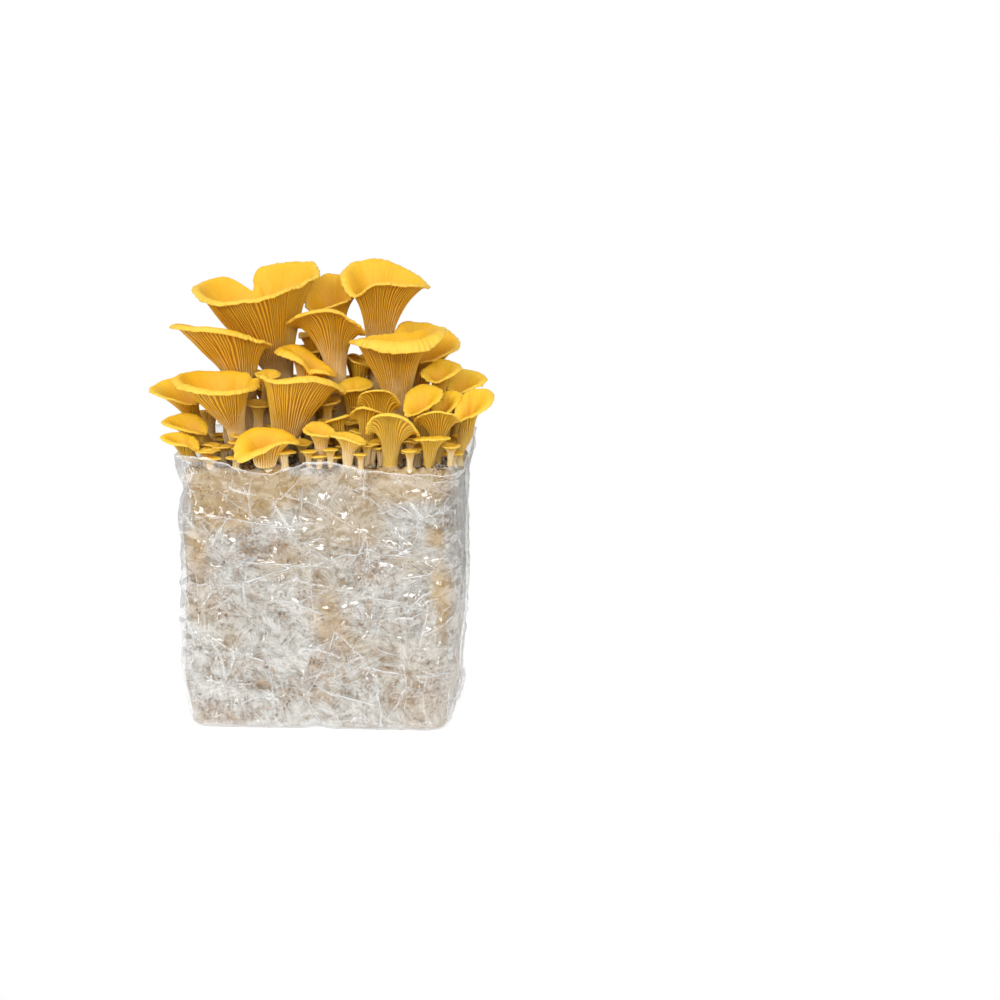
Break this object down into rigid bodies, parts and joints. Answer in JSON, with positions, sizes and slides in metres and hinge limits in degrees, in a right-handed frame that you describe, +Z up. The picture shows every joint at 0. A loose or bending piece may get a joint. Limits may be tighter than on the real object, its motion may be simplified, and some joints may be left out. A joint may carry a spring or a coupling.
{
  "type": "oyster mushroom grow bag",
  "caption": "Clear film bag around a block of substrate bound by white mycelium, with a dense cluster of golden oyster mushrooms growing from its open top.",
  "frame": {"origin": "middle of the bag's flat bottom, on the surface that it stands on", "axes": "+Z up, the tallest extent; the bag's wide front faces -Y; +X is to the right of a viewer who faces that front"},
  "size_m": [0.2408, 0.1541, 0.3133],
  "materials": {
    "clear_film": "clear, glossy, crumpled",
    "mycelium_block": "matte, fibrous white over brown",
    "mushroom_flesh": "satin, soft",
    "pin_flesh": "satin, soft"
  },
  "bodies": {
    "root": {"back_button_left": "mushroom_flesh", "back_button_low": "mushroom_flesh", "back_button_middle": "mushroom_flesh", "back_cap_left": "mushroom_flesh", "back_cap_middle": "mushroom_flesh", "back_cap_right": "mushroom_flesh", "back_fan_high_left": "mushroom_flesh", "back_fan_high_right": "mushroom_flesh", "back_fan_left": "mushroom_flesh", "back_fan_right": "mushroom_flesh", "button_between_left": "mushroom_flesh", "button_front_left": "mushroom_flesh", "button_front_middle": "mushroom_flesh", "button_inner_front": "mushroom_flesh", "button_inner_right": "mushroom_flesh", "button_low_left": "mushroom_flesh", "button_low_right": "mushroom_flesh", "cap_behind_front": "mushroom_flesh", "cap_between_left": "mushroom_flesh", "cap_front_large": "mushroom_flesh", "cap_front_right": "mushroom_flesh", "cap_inner_rear": "mushroom_flesh", "cap_low_left": "mushroom_flesh", "cap_low_middle": "mushroom_flesh", "cap_low_right": "mushroom_flesh", "cap_middle_left": "mushroom_flesh", "cap_middle_low": "mushroom_flesh", "cap_middle_rear": "mushroom_flesh", "cap_right_front": "mushroom_flesh", "cap_right_inner": "mushroom_flesh", "curled_cap_right": "mushroom_flesh", "fan_centre": "mushroom_flesh", "fan_inner_left": "mushroom_flesh", "fan_over_edge": "mushroom_flesh", "fan_right_outer": "mushroom_flesh", "fan_right_rear": "mushroom_flesh", "fan_right_tip": "mushroom_flesh", "fan_right_upper": "mushroom_flesh", "fan_upper_left": "mushroom_flesh", "funnel_front": "mushroom_flesh", "funnel_left": "mushroom_flesh", "funnel_top_left": "mushroom_flesh", "funnel_top_middle": "mushroom_flesh", "funnel_top_right": "mushroom_flesh", "pin_1": "pin_flesh", "pin_10": "pin_flesh", "pin_2": "pin_flesh", "pin_3": "pin_flesh", "pin_4": "pin_flesh", "pin_5": "pin_flesh", "pin_6": "pin_flesh", "pin_7": "pin_flesh", "pin_8": "pin_flesh", "pin_9": "pin_flesh", "plastic_bag": "clear_film", "rolled_lip_right": "mushroom_flesh", "shelf_left_lower": "mushroom_flesh", "shelf_left_middle": "mushroom_flesh", "shelf_left_upper": "mushroom_flesh", "substrate_block": "mycelium_block"}
  },
  "joints": []
}
